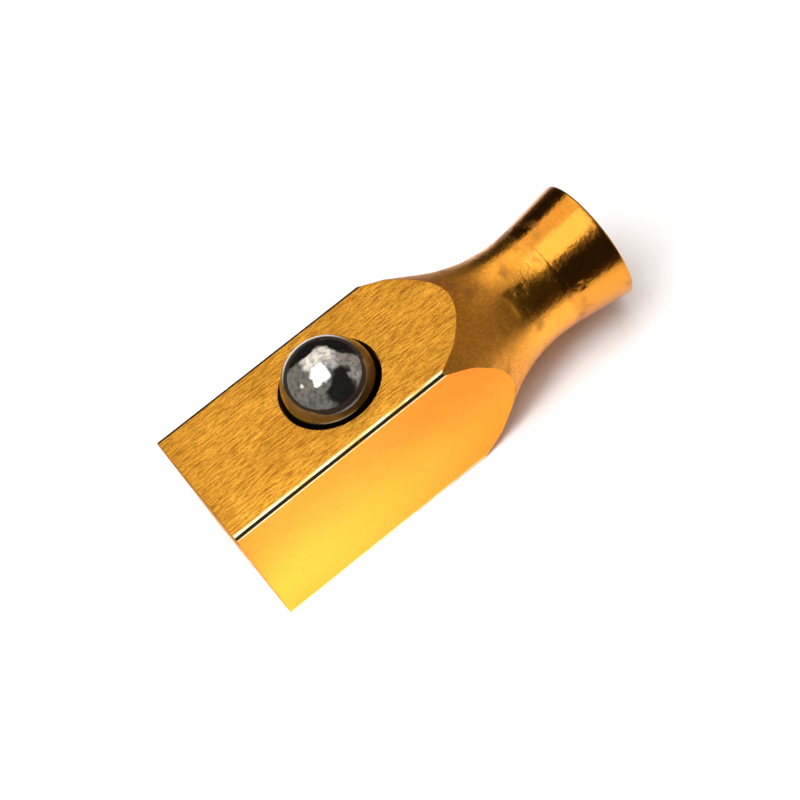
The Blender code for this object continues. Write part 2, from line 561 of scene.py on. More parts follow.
@dataclass(frozen=True)
class DrawnWire(Finish):
    """Spring wire with draw lines that follow the coils.

    Attributes:
        lines: Draw lines per metre of height.
        depth: Depth of the draw lines.
    """

    lines: float = 30000.0
    depth: float = 0.004 * MM

    def dress(self, bench: NodeBench, shader: bpy.types.Node) -> None:
        """Wires draw lines and oil-dark patches.

        Args:
            bench: The tree to wire.
            shader: Its Principled shader.
        """
        lines = bench.noise((500, 500, self.lines), detail=3)
        stain = bench.noise((900, 900, 900), detail=3)
        steel = bench.mix(bench.ramp(stain, 0.4, 0.7), self.colour, self.deep)
        low, high = self.roughness
        bench.surface(shader, steel, bench.ramp(lines, 0.3, 0.7, low, high), bench.bump(lines, self.depth))


class Finishes:
    """The object's finishes; a face of the body takes the one that has its name."""

    GRAINED = GrainedGilt("grained_gilt", (1.0, 0.49, 0.052), (0.42, 0.15, 0.01), (0.24, 0.4))
    SATIN = SatinGilt("satin_gilt_painted_sheen", (1.0, 0.335, 0.022), (0.92, 0.2, 0.014), (0.2, 0.28))
    TURNED = TurnedGilt("turned_gilt", (1.0, 0.42, 0.05), (0.4, 0.17, 0.04), (0.1, 0.28))
    CUT = TurnedGilt("cut_gilt", (0.95, 0.45, 0.06), (0.6, 0.25, 0.04), (0.2, 0.35))
    # painted shade: the bore's walls are coloured dark for the shade inside the hole
    BORED = TurnedGilt("bore_painted_shade", (0.3, 0.16, 0.04), (0.12, 0.06, 0.02), (0.3, 0.5))
    # pale edge finish: part wear, part painted highlight, with painted shade at the back
    WORN_GLINT = WornGlintGilt("worn_edge_glint", (1.0, 0.82, 0.5), (0.9, 0.5, 0.12), (0.12, 0.26))
    NOSE = MirrorSteel("nose_mirror", (0.68, 0.67, 0.66), (0.5, 0.49, 0.48), (0.02, 0.08))
    WIRE = DrawnWire("spring_wire", (0.5, 0.5, 0.52), (0.22, 0.21, 0.2), (0.22, 0.42))
    PLUG = TurnedGilt("plug_brass", (0.9, 0.5, 0.12), (0.5, 0.24, 0.05), (0.16, 0.34))


# ---------------------------------------------------------------------------------------------
# Meshes
# ---------------------------------------------------------------------------------------------


def add_object(name: str, data: bpy.types.ID | None) -> bpy.types.Object:
    """Adds an object to the scene.

    Args:
        name: The object's name.
        data: Its mesh, light, camera or other data.

    Returns:
        The new object.
    """
    obj = bpy.data.objects.new(name, data)
    bpy.context.scene.collection.objects.link(obj)
    return obj


def closed_sleeve(name: str, rows: Sequence[Sequence[Vector]]) -> bpy.types.Mesh:
    """Skins rings of points into one closed body.

    Args:
        name: The mesh's name.
        rows: Rings of points with one length. The first and last are drawn to their middles.

    Returns:
        The mesh, with its faces outward.
    """
    built = bmesh.new()
    rings = [[built.verts.new(point) for point in row] for row in rows]
    count = len(rings[0])
    for near, far in zip(rings, rings[1:]):
        for column in range(count):
            following = (column + 1) % count
            built.faces.new((near[column], near[following], far[following], far[column]))
    for ring in (rings[0], rings[-1]):
        middle = built.verts.new(sum((vert.co for vert in ring), Vector()) / count)
        for column in range(count):
            built.faces.new((ring[column], ring[(column + 1) % count], middle))
    bmesh.ops.recalc_face_normals(built, faces=built.faces)
    mesh = bpy.data.meshes.new(name)
    built.to_mesh(mesh)
    built.free()
    return mesh


def cut_away(obj: bpy.types.Object, cutter: bpy.types.Object) -> None:
    """Cuts one object out of another and removes the cutter.

    The cut leaves many-sided faces, which are split here so that the mesh stays
    closed when it is written out as triangles.

    Args:
        obj: The object that is cut.
        cutter: The object that is taken out of it.
    """
    boolean = obj.modifiers.new("cut", "BOOLEAN")
    boolean.operation = "DIFFERENCE"
    boolean.solver = "EXACT"
    boolean.object = cutter
    graph = bpy.context.evaluated_depsgraph_get()
    cut = bpy.data.meshes.new_from_object(obj.evaluated_get(graph))
    obj.modifiers.clear()
    old, obj.data = obj.data, cut
    bpy.data.meshes.remove(old)
    bpy.data.objects.remove(cutter)
    cleaned = bmesh.new()
    cleaned.from_mesh(cut)
    bmesh.ops.remove_doubles(cleaned, verts=cleaned.verts, dist=SLIVER)
    bmesh.ops.dissolve_degenerate(cleaned, edges=cleaned.edges, dist=SLIVER)
    many_sided = [face for face in cleaned.faces if len(face.verts) > 4]
    bmesh.ops.triangulate(cleaned, faces=many_sided, ngon_method="BEAUTY")
    cleaned.to_mesh(cut)
    cleaned.free()


def round_shading(obj: bpy.types.Object, sharp: float = math.radians(32)) -> None:
    """Shades an object smooth, with its flats kept flat and its sharp edges kept sharp."""
    obj.data.shade_smooth()
    obj.data.set_sharp_from_angle(angle=sharp)
    weighted = obj.modifiers.new("flat_flats", "WEIGHTED_NORMAL")
    weighted.keep_sharp = True
    weighted.mode = "FACE_AREA"


def angle_in_quarter(angle: float) -> float:
    """Returns how far an angle is from the nearest multiple of a quarter turn."""
    return (angle + math.pi / 4) % (math.pi / 2) - math.pi / 4


def spread(low: float, high: float, steps: int) -> list[float]:
    """Returns evenly spaced numbers from low to high, both included."""
    return [low + (high - low) * step / steps for step in range(steps + 1)]


def round_point(centre: Vector, radius: float, angle: float, height: float) -> Vector:
    """Returns the point at a radius and an angle about an upright axis, at a height."""
    return Vector((centre.x + radius * math.cos(angle), centre.y + radius * math.sin(angle), height))


@dataclass
class Thread:
    """A fine V thread on the plug and in the bore.

    Attributes:
        pitch: Height of one turn.
        depth: Root to crest.
        fade: How far from each end the thread runs out.
    """

    pitch: float = 0.5 * MM
    depth: float = 0.22 * MM
    fade: float = 0.2 * MM

    def inset(self, height: float, angle: float, low: float, high: float) -> float:
        """Says how far the thread lies inside its crest radius.

        Args:
            height: Height along the thread.
            angle: Angle about it.
            low: Where the thread starts.
            high: Where it ends.

        Returns:
            The depth below the crest, in metres.
        """
        phase = (height / self.pitch - angle / math.tau) % 1.0
        groove = abs(2 * phase - 1)
        reach = min(height - low, high - height) / self.fade
        return self.depth * groove * min(max(reach, 0.0), 1.0)


@dataclass(frozen=True)
class Dent:
    """A small nick in the turned neck, with sloping sides.

    Attributes:
        along: Square end to its middle.
        angle: Its middle's angle about the body's axis, in degrees.
        half_length: Half its length along the axis.
        half_sweep: Half its sweep about the axis, in degrees.
        depth: Its depth.
    """

    along: float
    angle: float
    half_length: float
    half_sweep: float
    depth: float

    def depth_at(self, along: float, angle: float) -> float:
        """Returns its depth at a distance from the square end and an angle in radians."""
        turn = (math.degrees(angle) - self.angle + 180) % 360 - 180
        reach = max(abs(along - self.along) / self.half_length, abs(turn) / self.half_sweep)
        return self.depth * min(max(2 * (1 - reach), 0.0), 1.0)


@dataclass
class Shank:
    """The one-piece gilt body: square shank, waisted neck and flare, with a stepped bore.

    Attributes:
        edge: Rounding of the long edges.
        arch_tip: Square end to the arches' tips.
        cone: Half angle of the neck's cone.
        lead: Half angle of the shallow cone before it.
        lead_radius: Where the two cones meet.
        neck_radius: Radius at the waist.
        neck_fillet: Radius of the waist's hollow.
        flare: Half angle of the flare.
        rim: Rounding of the flare's rim.
        arch_rounding: Rounding of the arches' edges.
        end_rounding: Rounding of the square end's edges.
        ring_depth: Depth of the tool line where the flare begins.
        ring_width: Half width of that line.
        mouth_bevel: Width of the polished bevel round the bore's mouth.
        guide_clearance: Nose to bore.
        shoulder: Height of the step that the flange stops against.
        chamber_radius: Radius of the bore below that step.
        thread_clearance: Plug's thread to the bore's.
        thread_past_plug: Length of the bore's thread past the plug's top.
        cutter_below: How far the bore's cutter starts below the underside.
        cutter_above: How far it ends above the upper flat.
        bore_columns: Columns of faces round the bore.
        settling: Length past the arches' tips over which the mesh's rows even out.
        arch_margin: Length between the last row of a flat and its arch.
        worn_glint_from: Share of the long edge's rounding that takes the pale edge finish, with its painted
            highlight and shade.
        square_rings: Rings of points on the square end, as shares of its radius.
        flare_rings: Rings of points on the flared end, as shares of its radius.
        dents: Small nicks in the turned neck.
        side_columns: Columns of faces across one flat.
        corner_columns: Columns round one long edge.
        thread: The thread in the bore.
    """

    edge: float = 0.32 * MM
    arch_tip: float = 19.07 * MM
    cone: float = math.radians(30)
    lead: float = math.radians(22)
    lead_radius: float = 5.95 * MM
    neck_radius: float = 3.56 * MM
    neck_fillet: float = 9.75 * MM
    flare: float = math.radians(8)
    rim: float = 0.15 * MM
    arch_rounding: float = 0.1 * MM
    end_rounding: float = 0.07 * MM
    ring_depth: float = 0.016 * MM
    ring_width: float = 0.1 * MM
    mouth_bevel: float = 0.07 * MM
    guide_clearance: float = 0.21 * MM
    shoulder: float = 6.65 * MM
    chamber_radius: float = 3.5 * MM
    thread_clearance: float = 0.05 * MM
    thread_past_plug: float = 0.3 * MM
    cutter_below: float = 0.33 * MM
    cutter_above: float = 0.5 * MM
    bore_columns: int = 128
    settling: float = 0.4 * MM
    arch_margin: float = 0.1 * MM
    worn_glint_from: float = 0.9
    square_rings: tuple[float, ...] = (0.15, 0.4, 0.7, 0.93)
    flare_rings: tuple[float, ...] = (0.75, 0.45, 0.15)
    dents: tuple[Dent, ...] = (
        Dent(21.9 * MM, 133, 0.4 * MM, 16, 0.05 * MM),
        Dent(22.8 * MM, 127, 0.3 * MM, 7, 0.03 * MM),
        Dent(20.0 * MM, 141, 0.34 * MM, 6, 0.035 * MM),
        Dent(25.9 * MM, 158, 0.3 * MM, 5, 0.025 * MM),
    )
    side_columns: int = 72
    corner_columns: int = 8
    thread: Thread = field(default_factory=Thread)

    def __post_init__(self) -> None:
        """Reads the body's and plug's places from the frame and works out the outline."""
        self.low, self.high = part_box("body")
        plug_low, plug_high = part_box("spring_plug")
        self.bore_centre = (plug_low + plug_high) / 2
        self.plug_top = plug_high.z
        self.plug_radius = (plug_high.x - plug_low.x) / 2
        self.half = (self.high.z - self.low.z) / 2
        self.length = self.high.x - self.low.x
        self.fillet_radius = self.neck_radius + self.neck_fillet * (1 - math.cos(self.cone))
        self.fillet_start = self.arch_tip - (self.fillet_radius - self.half) / math.tan(self.cone)
        self.waist = self.fillet_start + self.neck_fillet * math.sin(self.cone)
        self.flare_start = self.waist + self.neck_fillet * math.sin(self.flare)
        self.flare_start_radius = self.neck_radius + self.neck_fillet * (1 - math.cos(self.flare))
        self.lead_end = self.arch_tip - (self.lead_radius - self.half) / math.tan(self.cone)

    def turned_radius(self, along: float) -> float:
        """Radius of the turned neck and flare at a distance from the square end."""
        if along < self.lead_end:
            return self.lead_radius + (self.lead_end - along) * math.tan(self.lead)
        if along < self.fillet_start:
            return self.half + (self.arch_tip - along) * math.tan(self.cone)
        if along < self.flare_start:
            offset = along - self.waist
            radius = self.neck_radius + self.neck_fillet - math.sqrt(self.neck_fillet**2 - offset**2)
        else:
            radius = self.flare_start_radius + (along - self.flare_start) * math.tan(self.flare)
        line = (along - self.flare_start) / self.ring_width
        return radius - self.ring_depth * math.exp(-line * line)

    def dented(self, along: float, angle: float) -> float:
        """Returns how deep the nicks go at a place on the neck."""
        return sum(dent.depth_at(along, angle) for dent in self.dents)

    def square_radius(self, angle: float) -> float:
        """Radius of the square with rounded edges, at an angle about the axis."""
        turn = abs(angle_in_quarter(angle))
        centre = self.half - self.edge
        if self.half * math.tan(turn) <= centre:
            return self.half / math.cos(turn)
        reach = centre * math.sqrt(2)
        skew = math.pi / 4 - turn
        return reach * math.cos(skew) + math.sqrt(self.edge**2 - (reach * math.sin(skew)) ** 2)

    def columns(self) -> list[float]:
        """Lists the angles of the mesh's columns, closer together round the long edges."""
        corner = math.atan2(self.half - self.edge, self.half)
        angles: list[float] = []
        for side in range(4):
            turn = side * math.pi / 2
            reach = self.half - self.edge
            angles += [turn + math.atan2(y, self.half) for y in spread(-reach, reach, self.side_columns)]
            edge = spread(turn + corner, turn + math.pi / 2 - corner, self.corner_columns)
            angles += edge[1:-1]
        return angles

    def arch(self, radius: float) -> tuple[float, float]:
        """Finds where the turned outline comes down to a radius.

        Args:
            radius: Radius of the square at one angle about the axis.

        Returns:
            Distance from the square end, and the outline's slope there.
        """
        if radius > self.lead_radius:
            return self.lead_end - (radius - self.lead_radius) / math.tan(self.lead), self.lead
        if radius > self.fillet_radius:
            return self.arch_tip - (radius - self.half) / math.tan(self.cone), self.cone
        rise = self.neck_fillet + self.neck_radius - radius
        offset = math.sqrt(self.neck_fillet**2 - rise**2)
        return self.waist - offset, math.asin(offset / self.neck_fillet)

    def outline(self, angle: float) -> list[tuple[float, float, Face]]:
        """Outline of the body in one half plane through its axis.

        Args:
            angle: The half plane's angle about the axis.

        Returns:
            Points from the square end to the flared end, as distance along, radius, and the
            finish of the face that follows the point.
        """
        radius = self.square_radius(angle)
        arch, slope = self.arch(radius)
        top = (angle - math.pi / 2 + math.pi) % math.tau - math.pi
        flat = Face.GRAINED if abs(top) < math.pi / 4 else Face.SATIN
        # the long edges take the pale edge finish: painted highlight in front, painted shade behind
        if self.half * abs(math.tan(angle_in_quarter(angle))) > self.half - self.worn_glint_from * self.edge:
            flat = Face.WORN_GLINT
        points: list[tuple[float, float, Face]] = []
        for share in self.square_rings:
            points.append((0.0, share * radius, Face.CUT))
        for turn in spread(0, math.pi / 2, 3):
            inset = self.end_rounding * (1 - math.sin(turn))
            points.append((self.end_rounding * (1 - math.cos(turn)), radius - inset, Face.CUT))
        tangent = self.arch_rounding * math.tan(slope / 2)
        last = arch - tangent
        points[-1] = (*points[-1][:2], flat)
        for along in spread(self.end_rounding, last - self.arch_margin, 24)[1:]:
            points.append((along, radius, flat))
        for turn in spread(0, slope, 4):
            along = last + self.arch_rounding * math.sin(turn)
            points.append((along, radius - self.arch_rounding * (1 - math.cos(turn)), Face.TURNED))
        join = last + self.arch_rounding * math.sin(slope)
        settled = self.arch_tip + self.settling
        crease = max(self.lead_end, join + 0.3 * (settled - join))
        line = self.flare_start
        stops = spread(join, crease, 10)[1:] + spread(crease, settled, 18)[1:]
        stops += spread(settled, line - 3 * self.ring_width, 44)[1:]
        stops += spread(line - 3 * self.ring_width, line + 3 * self.ring_width, 12)[1:]
        stops += spread(line + 3 * self.ring_width, self.length - self.rim, 16)[1:]
        for along in stops:
            points.append((along, self.turned_radius(along) - self.dented(along, angle), Face.TURNED))
        rim_radius = self.turned_radius(self.length - self.rim)
        for turn in spread(0, math.pi / 2, 5)[1:]:
            inset = self.rim * (1 - math.cos(turn))
            points.append((self.length - self.rim * (1 - math.sin(turn)), rim_radius - inset, Face.TURNED))
        points[-1] = (*points[-1][:2], Face.CUT)
        for share in self.flare_rings:
            points.append((self.length, share * rim_radius, Face.CUT))
        return points

    def skin(self) -> bpy.types.Mesh:
        """Builds the body's outside.

        Returns:
            One closed mesh whose faces carry the index of their finish.
        """
        angles = self.columns()
        outlines = [self.outline(angle) for angle in angles]
        rows = [
            [
                Vector(
                    (
                        self.low.x + outline[row][0],
                        outline[row][1] * math.cos(angle),
                        self.low.z + self.half + outline[row][1] * math.sin(angle),
                    )
                )
                for angle, outline in zip(angles, outlines)
            ]
            for row in range(len(outlines[0]))
        ]
        mesh = closed_sleeve("body_fine", rows)
        count = len(angles)
        for face in mesh.polygons:
            row, column = divmod(face.index, count)
            if row < len(rows) - 1:
                corner = outlines[column][row][2]
                following = outlines[(column + 1) % count][row][2]
                face.material_index = max(corner.value, following.value)
            else:
                face.material_index = Face.CUT.value
        return mesh

    def bore(self) -> bpy.types.Object:
        """Builds the solid that the bore is cut with.

        Returns:
            The cutter: threaded for the plug, a chamber, the plunger's guide and a bevel at the mouth.
        """
        top = self.high.z
        crest = self.plug_radius + self.thread_clearance
        thread_end = self.plug_top + self.thread_past_plug
        thread_start = -1.0 * MM  # far enough below the underside not to run out at the mouth
        guide = NOSE_RADIUS + self.guide_clearance
        angles = spread(0, math.tau, self.bore_columns)[:-1]
        rows: list[list[Vector]] = []

        def ring(height: float, radius: Callable[[float], float]) -> None:
            """Adds one ring of the cutter at a height."""
            rows.append([round_point(self.bore_centre, radius(angle), angle, height) for angle in angles])

        for height in spread(-self.cutter_below, thread_end, 40):
            ring(
                height,
                lambda angle, at=height: crest - self.thread.inset(at, angle, thread_start, thread_end),
            )
        for height in (thread_end, self.shoulder):
            ring(height, lambda _angle: self.chamber_radius)
        for height in (self.shoulder, top - self.mouth_bevel):
            ring(height, lambda _angle: guide)
        ring(top + self.cutter_above, lambda _angle: guide + self.mouth_bevel + self.cutter_above)
        return add_object("bore_cutter", closed_sleeve("bore_cutter", rows))

    def build(self) -> bpy.types.Object:
        """Builds, bores and dresses the body.

        Returns:
            The body.
        """
        body = add_object("body_fine", self.skin())
        for face in Face:
            body.data.materials.append(getattr(Finishes, face.name).make())
        cutter = self.bore()
        for material in body.data.materials:
            cutter.data.materials.append(material)
        # the mouth's bevel takes the pale edge finish: a painted highlight round the bore's mouth
        bevel = self.high.z - 1.5 * self.mouth_bevel
        # the bore's walls below the bevel take the dark bore finish, which is painted shade
        for face in cutter.data.polygons:
            face.material_index = (Face.WORN_GLINT if face.center.z > bevel else Face.BORED).value
        cut_away(body, cutter)
        round_shading(body)
        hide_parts("body")
        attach(body, Body.SHANK.value)
        return body


@dataclass
class BallPlunger:
    """The steel plunger: ball nose, skirt with a spring pocket, and the flange that holds it in.

    Attributes:
        columns: Columns of faces round it.
        nose_rows: Rows of faces from the nose's tip to its widest ring.
        shoulder: Height of the bore's step.
        flange_gap: Flange to that step.
        pocket_radius: Radius of the spring pocket.
        pocket_top: Height of the pocket's end.
        rounding: Rounding of the flange's rim.
    """

    columns: int = 160
    nose_rows: int = 56
    shoulder: float = 6.65 * MM
    flange_gap: float = 0.05 * MM
    pocket_radius: float = 2.15 * MM
    pocket_top: float = 8.0 * MM
    rounding: float = 0.1 * MM

    def profile(self, low: Vector, high: Vector, nose: float) -> list[tuple[float, float]]:
        """Outline of the plunger, as radius and height, from the tip down and up into the pocket.

        Args:
            low: Lowest corner of its box.
            high: Highest corner of its box.
            nose: Radius of the nose.

        Returns:
            The outline's points.
        """
        centre = high.z - nose
        flange = (high.x - low.x) / 2
        flange_top = self.shoulder - self.flange_gap
        points = [
            (nose * math.sin(turn), centre + nose * math.cos(turn))
            for turn in spread(0, math.pi / 2, self.nose_rows)[1:]
        ]
        points += [(nose, height) for height in spread(centre, flange_top, 8)[1:]]
        inset = self.rounding
        quarter = spread(0, math.pi / 2, 4)
        for turn in quarter:
            height = flange_top - inset + inset * math.cos(turn)
            points.append((flange - inset + inset * math.sin(turn), height))
        for turn in quarter:
            height = low.z + inset - inset * math.sin(turn)
            points.append((flange - inset + inset * math.cos(turn), height))
        points += [(self.pocket_radius, height) for height in spread(low.z, self.pocket_top, 6)]
        points += [(share * self.pocket_radius, self.pocket_top) for share in (0.6, 0.25)]
        return points

    def build(self) -> bpy.types.Object:
        """Builds and dresses the plunger in its CAD node's place.

        Returns:
            The plunger.
        """
        low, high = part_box("ball_plunger")
        axis = (low + high) / 2
        angles = spread(0, math.tau, self.columns)[:-1]
        rows = [
            [round_point(axis, radius, angle, height) for angle in angles]
            for radius, height in self.profile(low, high, NOSE_RADIUS)
        ]
        mesh = closed_sleeve("plunger_fine", rows)
        plunger = add_object("plunger_fine", mesh)
        mesh.materials.append(Finishes.NOSE.make())
        mesh.shade_smooth()
        mesh.set_sharp_from_angle(angle=math.radians(40))
        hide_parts("ball_plunger")
        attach(plunger, Body.PLUNGER.value)
        return plunger


@dataclass
class PlungerSpring:
    """The coil spring between plug and plunger, with closed and ground ends.

    Attributes:
        wire: Radius of the wire.
        closed_turns: Closed turns at each end.
        active_turns: Open turns between them.
        closed_pitch: Height of a closed turn.
        grinding: How far each end is ground flat.
        turn_points: Rings of points in one turn.
        travel: How far the plunger goes in; not used.
        wire_points: Points round the wire.
    """

    wire: float = 0.2 * MM
    closed_turns: float = 0.75
    active_turns: float = 5.0
    closed_pitch: float = 0.45 * MM
    grinding: float = 0.06 * MM
    turn_points: int = 48
    travel: float = 2.84 * MM
    wire_points: int = 14

    def height(self, turn: float, low: float, high: float) -> float:
        """Height of the wire's middle after a number of turns.

        Args:
            turn: Turns from the lower end.
            low: Height of the lower end.
            high: Height of the upper end.

        Returns:
            The height, in metres.
        """
        rise = self.closed_turns * self.closed_pitch
        pitch = (high - low - 2 * rise) / self.active_turns
        active = min(max(turn - self.closed_turns, 0.0), self.active_turns)
        return low + (turn - active) * self.closed_pitch + active * pitch

    def build(self) -> bpy.types.Object:
        """Builds and dresses the spring.

        Returns:
            The spring.
        """
        box_low, box_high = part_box("plunger_spring")
        plug_low, plug_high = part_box("spring_plug")
        axis = (plug_low + plug_high) / 2
        coil = (box_high.y - box_low.y) / 2 - self.wire
        low, high = box_low.z + self.wire, box_high.z - self.wire
        total = 2 * self.closed_turns + self.active_turns
        rows: list[list[Vector]] = []
        for step in range(round(total * self.turn_points) + 1):
            turn = step / self.turn_points
            angle = turn * math.tau
            out = Vector((math.cos(angle), math.sin(angle), 0))
            middle = Vector((axis.x, axis.y, 0)) + out * coil
            middle.z = self.height(turn, low, high)
            ring = []
            for point in range(self.wire_points):
                around = point / self.wire_points * math.tau
                place = middle + self.wire * (math.cos(around) * out + math.sin(around) * Vector((0, 0, 1)))
                place.z = min(max(place.z, box_low.z + self.grinding), box_high.z - self.grinding)
                ring.append(place)
            rows.append(ring)
        mesh = closed_sleeve("spring_fine", rows)
        spring = add_object("spring_fine", mesh)
        mesh.materials.append(Finishes.WIRE.make())
        mesh.shade_smooth()
        mesh.set_sharp_from_angle(angle=math.radians(50))
        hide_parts("plunger_spring")
        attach(spring, Body.SHANK.value)
        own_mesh(spring)
        return spring


@dataclass
class SpringPlug:
    """The slotted brass screw that closes the bore.

    Attributes:
        chamfer: Chamfer of its two ends.
        slot_width: Width of the screwdriver slot.
        slot_depth: Depth of the slot.
        thread: Its thread.
        columns: Columns of faces round it.
        rows: Rows of faces along the thread.
    """

    chamfer: float = 0.2 * MM
    slot_width: float = 0.9 * MM
    slot_depth: float = 0.7 * MM
    thread: Thread = field(default_factory=Thread)
    columns: int = 128
    rows: int = 40

    def build(self) -> bpy.types.Object:
        """Builds, slots and dresses the plug.

        Returns:
            The plug.
        """
        low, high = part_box("spring_plug")
        centre = (low + high) / 2
        radius = (high.x - low.x) / 2
        angles = spread(0, math.tau, self.columns)[:-1]
        levels = [(low.z, share * (radius - self.chamfer), 0.0) for share in (0.3, 0.7)]
        for height in spread(low.z, high.z, self.rows):
            end = min(height - low.z, high.z - height)
            levels.append((height, radius - max(self.chamfer - end, 0.0), 1.0))
        levels += [(high.z, share * (radius - self.chamfer), 0.0) for share in (0.7, 0.3)]
        rows = []
        for height, reach, threaded in levels:
            ring = []
            for angle in angles:
                inset = threaded * self.thread.inset(height, angle, low.z, high.z)
                ring.append(round_point(centre, reach - inset, angle, height))
            rows.append(ring)
        plug = add_object("plug_fine", closed_sleeve("plug_fine", rows))
        plug.data.materials.append(Finishes.PLUG.make())
        cut_away(plug, self.slot_cutter(centre, low.z, radius))
        round_shading(plug)
        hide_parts("spring_plug")
        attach(plug, Body.SHANK.value)
        return plug

    def slot_cutter(self, centre: Vector, base: float, radius: float) -> bpy.types.Object:
        """Builds the solid that the slot is cut with.

        Args:
            centre: The plug's middle.
            base: Height of its slotted end.
            radius: Its radius.

        Returns:
            The cutter.
        """
        mesh = bpy.data.meshes.new("slot_cutter")
        built = bmesh.new()
        bmesh.ops.create_cube(built, size=1)
        bmesh.ops.scale(built, verts=built.verts, vec=(3 * radius, self.slot_width, 2 * self.slot_depth))
        bmesh.ops.translate(built, verts=built.verts, vec=(centre.x, centre.y, base))
        built.to_mesh(mesh)
        built.free()
        return add_object("slot_cutter", mesh)


# ---------------------------------------------------------------------------------------------
# Stage
# ---------------------------------------------------------------------------------------------


def direction(azimuth: float, elevation: float) -> Vector:
    """Returns a unit vector: azimuth 0 points along -Y and 90 along +X, both in degrees."""
    turn, rise = math.radians(azimuth), math.radians(elevation)
    return Vector(
        (math.sin(turn) * math.cos(rise), -math.cos(turn) * math.cos(rise), math.sin(rise))
    )


@dataclass(frozen=True)
class Patch:
    """A round soft-edged patch of the studio's walls.

    Attributes:
        azimuth: Where its middle is, in degrees.
        elevation: How high its middle is, in degrees.
        half_angle: Its half angle, in degrees.
        softness: Width of its edge, in degrees.
        colour: Its colour.
    """

    azimuth: float
    elevation: float
    half_angle: float
    softness: float
    colour: Colour


@dataclass(frozen=True)
class Lamp:
    """A soft disk light that faces the middle of the object's underside.

    Attributes:
        name: Its name.
        place: Where it hangs.
        size: Its diameter.
        energy: Its strength, in watts.
    """

    name: str
    place: Point
    size: float
    energy: float


